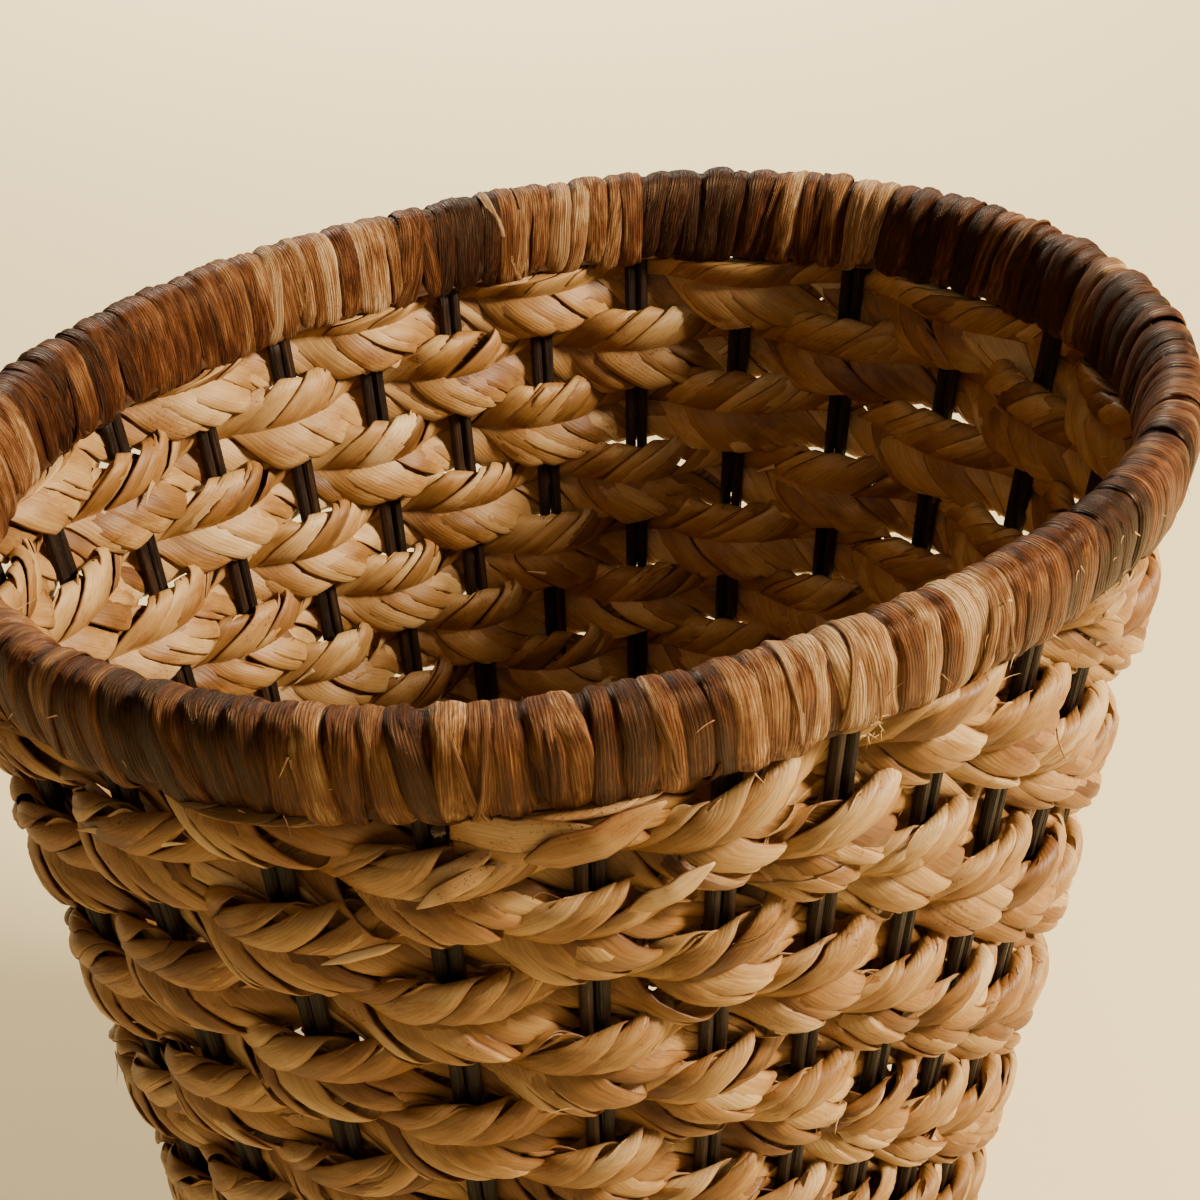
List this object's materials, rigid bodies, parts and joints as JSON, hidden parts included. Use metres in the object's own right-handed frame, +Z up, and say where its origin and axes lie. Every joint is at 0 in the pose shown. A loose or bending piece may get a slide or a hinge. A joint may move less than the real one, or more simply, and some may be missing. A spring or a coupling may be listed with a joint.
{
  "type": "laundry basket",
  "caption": "Open oval laundry basket: a spiral plait woven over paired dark rods, between a leaf-bound rim and a bound foot with a flat woven base",
  "frame": {"origin": "centre of the footprint, at floor level", "axes": "+Z up, X along the oval's long axis, -Y the side that the picture looks at"},
  "size_m": [0.4742, 0.3744, 0.48],
  "materials": {
    "plait": "dry plaited leaf, matt with a faint wax sheen",
    "rim_leaf": "dry brown leaf strips in mixed tones, lightly glossy",
    "foot_leaf": "dry brown leaf strips in mixed tones, lightly glossy",
    "dark_rod": "dark stained cane, satin, rubbed lighter along its ridges",
    "hoop_cane": "plain split cane, matt"
  },
  "bodies": {
    "root": {"rim_hoop_outer": "hoop_cane", "rim_hoop_inner": "hoop_cane", "rim_binding_1": "rim_leaf", "rim_binding_2": "rim_leaf", "rim_binding_3": "rim_leaf", "rim_binding_4": "rim_leaf", "rim_binding_5": "rim_leaf", "rim_binding_6": "rim_leaf", "rim_binding_7": "rim_leaf", "rim_binding_8": "rim_leaf", "rim_binding_9": "rim_leaf", "weave_turn_01": "plait", "weave_turn_02": "plait", "weave_turn_03": "plait", "weave_turn_04": "plait", "weave_turn_05": "plait", "weave_turn_06": "plait", "weave_turn_07": "plait", "weave_turn_08": "plait", "weave_turn_09": "plait", "weave_turn_10": "plait", "weave_turn_11": "plait", "weave_turn_12": "plait", "weave_turn_13": "plait", "weave_turn_14": "plait", "stake_pair_01": "dark_rod", "stake_pair_02": "dark_rod", "stake_pair_03": "dark_rod", "stake_pair_04": "dark_rod", "stake_pair_05": "dark_rod", "stake_pair_06": "dark_rod", "stake_pair_07": "dark_rod", "stake_pair_08": "dark_rod", "stake_pair_09": "dark_rod", "stake_pair_10": "dark_rod", "stake_pair_11": "dark_rod", "stake_pair_12": "dark_rod", "stake_pair_13": "dark_rod", "stake_pair_14": "dark_rod", "stake_pair_15": "dark_rod", "stake_pair_16": "dark_rod", "stake_pair_17": "dark_rod", "stake_pair_18": "dark_rod", "stake_pair_19": "dark_rod", "stake_pair_20": "dark_rod", "stake_pair_21": "dark_rod", "stake_pair_22": "dark_rod", "stake_pair_23": "dark_rod", "stake_pair_24": "dark_rod", "stake_pair_25": "dark_rod", "stake_pair_26": "dark_rod", "stake_pair_27": "dark_rod", "foot_hoop": "hoop_cane", "foot_binding": "foot_leaf", "base_frame": "hoop_cane", "base_rods": "dark_rod", "base_plaits": "plait"}
  },
  "joints": []
}
